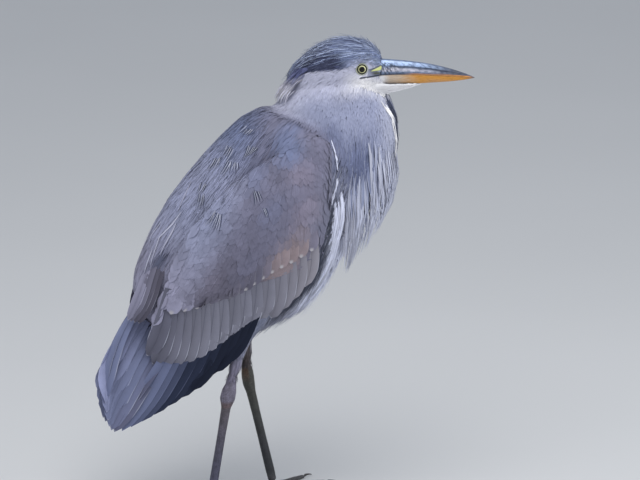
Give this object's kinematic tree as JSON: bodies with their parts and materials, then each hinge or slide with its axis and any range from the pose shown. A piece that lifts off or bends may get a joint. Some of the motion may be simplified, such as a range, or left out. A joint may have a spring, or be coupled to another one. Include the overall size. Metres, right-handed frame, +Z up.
{
  "type": "grey heron model",
  "caption": "Life-size still model of a young grey heron, standing hunched with its neck drawn in, long pointed bill level and wings folded.",
  "frame": {"origin": "on the floor, under the middle of the bird's overall box", "axes": "+Z up, +X the way the body faces, +Y towards the bird's left side; the head turns about 10 degrees to its right"},
  "size_m": [0.5034, 0.1758, 0.6315],
  "materials": {
    "plumage_head": "soft matt feathering",
    "plumage_crest": "soft matt feathering",
    "plumage_neck": "soft matt feathering",
    "plumage_back": "soft matt feathering",
    "plumage_breast": "soft matt feathering",
    "plumage_coverts": "soft matt feathering",
    "plumage_secondaries": "soft matt feathering",
    "plumage_primaries": "soft matt feathering",
    "plumage_tail": "soft matt feathering",
    "plumage_thigh": "soft matt feathering",
    "horn_upper_bill": "satin horn",
    "horn_lower_bill": "satin horn",
    "eye": "wet and glossy",
    "leg_skin": "fine matt scales",
    "claw_horn": "matt horn"
  },
  "bodies": {
    "root": {"head": "plumage_head", "crest": "plumage_crest", "neck_upper": "plumage_neck", "neck_middle": "plumage_neck", "neck_lower": "plumage_neck", "trunk": "plumage_back", "tertials_right": "plumage_back", "tertials_left": "plumage_back", "breast_plumes": "plumage_breast", "wing_right": "plumage_coverts", "wing_left": "plumage_coverts", "secondaries_right": "plumage_secondaries", "secondaries_left": "plumage_secondaries", "primaries_right": "plumage_primaries", "primaries_left": "plumage_primaries", "tail": "plumage_tail", "thigh_right": "plumage_thigh", "thigh_left": "plumage_thigh", "bill_upper": "horn_upper_bill", "bill_lower": "horn_lower_bill", "eye_right": "eye", "eye_left": "eye", "leg_right": "leg_skin", "leg_left": "leg_skin", "foot_right": "leg_skin", "foot_left": "leg_skin", "claw_outer_right": "claw_horn", "claw_middle_right": "claw_horn", "claw_inner_right": "claw_horn", "claw_hind_right": "claw_horn", "claw_outer_left": "claw_horn", "claw_middle_left": "claw_horn", "claw_inner_left": "claw_horn", "claw_hind_left": "claw_horn"}
  },
  "joints": []
}
